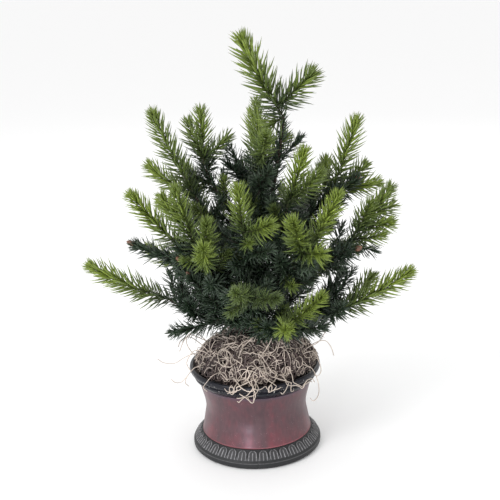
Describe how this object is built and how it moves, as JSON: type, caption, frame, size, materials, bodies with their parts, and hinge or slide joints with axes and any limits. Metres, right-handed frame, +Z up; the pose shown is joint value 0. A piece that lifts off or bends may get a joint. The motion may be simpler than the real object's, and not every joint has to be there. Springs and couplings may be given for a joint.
{
  "type": "artificial tabletop tree",
  "caption": "Small artificial fir in a waisted urn with a leaf-banded foot, moss over the soil and wire branches that bend by hand.",
  "frame": {"origin": "middle of the pot's flat underside, on the table", "axes": "+Z up along the pot's axis, the tree's front towards -Y and its right side towards +X"},
  "size_m": [0.3936, 0.3195, 0.508],
  "materials": {
    "rim": "gloss black paint with a bluish sheen",
    "body": "burgundy metallic paint",
    "foot": "charcoal paint, rubbed grey on the raised leaves",
    "ballast": "raw cast cement",
    "foam": "cut foam",
    "moss": "dry curly moss",
    "trunk": "dark wrapped pole",
    "stem": "wrapped wire",
    "tip": "soft moulded needles, yellow-green to mid green",
    "twig": "cut foil needles, dark blue-green",
    "bud": "brown bud"
  },
  "bodies": {
    "pot": {"pot_foot": "foot", "pot_body": "body", "pot_rim": "rim", "ballast": "ballast", "foam_plug": "foam", "moss_mound": "moss", "trunk": "trunk", "crown_tip": "tip"},
    "leader": {"leader_stem": "stem", "leader_tip": "tip"},
    "upper_left": {"upper_left_stem": "stem", "upper_left_tip_a": "tip", "upper_left_tip_b": "tip"},
    "upper_back_left": {"upper_back_left_stem": "stem", "upper_back_left_tip": "tip"},
    "upper_back": {"upper_back_stem": "stem", "upper_back_tip": "tip"},
    "upper_right": {"upper_right_stem": "stem", "upper_right_tip_a": "tip", "upper_right_tip_b": "tip", "upper_right_tip_c": "tip"},
    "centre_right": {"centre_right_stem": "stem", "centre_right_tip": "tip"},
    "front": {"front_stem": "stem", "front_tip": "tip"},
    "mid_left": {"mid_left_stem": "stem", "mid_left_tip": "tip", "mid_left_twig": "twig", "mid_left_bud": "bud"},
    "front_left": {"front_left_stem": "stem", "front_left_tip_a": "tip", "front_left_tip_b": "tip"},
    "front_right": {"front_right_stem": "stem", "front_right_tip_a": "tip", "front_right_tip_b": "tip"},
    "mid_right": {"mid_right_stem": "stem", "mid_right_tip_a": "tip", "mid_right_tip_b": "tip", "mid_right_twig": "twig", "mid_right_bud": "bud"},
    "mid_back_left": {"mid_back_left_stem": "stem", "mid_back_left_tip": "tip"},
    "mid_back_right": {"mid_back_right_stem": "stem", "mid_back_right_tip": "tip"},
    "low_front": {"low_front_stem": "stem", "low_front_tip": "tip"},
    "low_left": {"low_left_stem": "stem", "low_left_tip": "tip"},
    "low_front_left": {"low_front_left_stem": "stem", "low_front_left_twig": "twig"},
    "low_right": {"low_right_stem": "stem", "low_right_tip": "tip", "low_right_twig": "twig"},
    "low_front_right": {"low_front_right_stem": "stem", "low_front_right_tip": "tip", "low_front_right_twig": "twig"},
    "low_back_left": {"low_back_left_stem": "stem", "low_back_left_tip": "tip"},
    "low_back_right": {"low_back_right_stem": "stem", "low_back_right_tip": "tip"}
  },
  "joints": [
    {"name": "leader_bend", "type": "hinge", "parent": "pot", "child": "leader", "pos_m": [0.01943, 0, 0.296], "axis": [0, -1, 0], "range_deg": [-30, 8]},
    {"name": "upper_left_bend", "type": "hinge", "parent": "pot", "child": "upper_left", "pos_m": [-0.0027, 0, 0.225], "axis": [0, 1, 0], "range_deg": [-30, 12]},
    {"name": "upper_back_left_bend", "type": "hinge", "parent": "pot", "child": "upper_back_left", "pos_m": [0.00112, 0.00298, 0.265], "axis": [0.3715, 0.9284, 0], "range_deg": [-25, 12]},
    {"name": "upper_back_bend", "type": "hinge", "parent": "pot", "child": "upper_back", "pos_m": [0.00804, 0.00799, 0.255], "axis": [0.9989, -0.0463, 0], "range_deg": [-25, 12]},
    {"name": "upper_right_bend", "type": "hinge", "parent": "pot", "child": "upper_right", "pos_m": [0.01473, 0.00119, 0.245], "axis": [0.1484, -0.9889, 0], "range_deg": [-30, 15]},
    {"name": "centre_right_bend", "type": "hinge", "parent": "pot", "child": "centre_right", "pos_m": [0.01304, -0.00449, 0.24], "axis": [-0.561, -0.8278, 0], "range_deg": [-30, 12]},
    {"name": "front_bend", "type": "hinge", "parent": "pot", "child": "front", "pos_m": [0.00368, -0.00787, 0.222], "axis": [-0.9843, 0.1765, 0], "range_deg": [-25, 30]},
    {"name": "mid_left_bend", "type": "hinge", "parent": "pot", "child": "mid_left", "pos_m": [-0.00487, -0.0016, 0.185], "axis": [-0.1992, 0.98, 0], "range_deg": [-17, 25]},
    {"name": "front_left_bend", "type": "hinge", "parent": "pot", "child": "front_left", "pos_m": [-0.00333, -0.00522, 0.18], "axis": [-0.6523, 0.758, 0], "range_deg": [-30, 15]},
    {"name": "front_right_bend", "type": "hinge", "parent": "pot", "child": "front_right", "pos_m": [0.00928, -0.00563, 0.197], "axis": [-0.7034, -0.7108, 0], "range_deg": [-20, 20]},
    {"name": "mid_right_bend", "type": "hinge", "parent": "pot", "child": "mid_right", "pos_m": [0.0113, -0.00057, 0.192], "axis": [-0.0714, -0.9975, 0], "range_deg": [-12, 20]},
    {"name": "mid_back_left_bend", "type": "hinge", "parent": "pot", "child": "mid_back_left", "pos_m": [-0.00111, 0.00612, 0.205], "axis": [0.7651, 0.6439, 0], "range_deg": [-18, 25]},
    {"name": "mid_back_right_bend", "type": "hinge", "parent": "pot", "child": "mid_back_right", "pos_m": [0.00945, 0.00615, 0.21], "axis": [0.7688, -0.6395, 0], "range_deg": [-25, 25]},
    {"name": "low_front_bend", "type": "hinge", "parent": "pot", "child": "low_front", "pos_m": [0.00176, -0.00798, 0.17], "axis": [-0.998, 0.0634, 0], "range_deg": [-30, 20]},
    {"name": "low_left_bend", "type": "hinge", "parent": "pot", "child": "low_left", "pos_m": [-0.00652, -0.00055, 0.15], "axis": [-0.0682, 0.9977, 0], "range_deg": [-25, 12]},
    {"name": "low_front_left_bend", "type": "hinge", "parent": "pot", "child": "low_front_left", "pos_m": [-0.00423, -0.00519, 0.16], "axis": [-0.649, 0.7607, 0], "range_deg": [-20, 25]},
    {"name": "low_right_bend", "type": "hinge", "parent": "pot", "child": "low_right", "pos_m": [0.00947, -0.00127, 0.153], "axis": [-0.1587, -0.9873, 0], "range_deg": [-20, 10]},
    {"name": "low_front_right_bend", "type": "hinge", "parent": "pot", "child": "low_front_right", "pos_m": [0.00488, -0.0072, 0.148], "axis": [-0.9, -0.4359, 0], "range_deg": [-25, 10]},
    {"name": "low_back_left_bend", "type": "hinge", "parent": "pot", "child": "low_back_left", "pos_m": [-0.00336, 0.00624, 0.155], "axis": [0.7796, 0.6263, 0], "range_deg": [-25, 20]},
    {"name": "low_back_right_bend", "type": "hinge", "parent": "pot", "child": "low_back_right", "pos_m": [0.00614, 0.0067, 0.158], "axis": [0.8377, -0.5462, 0], "range_deg": [-25, 20]}
  ]
}
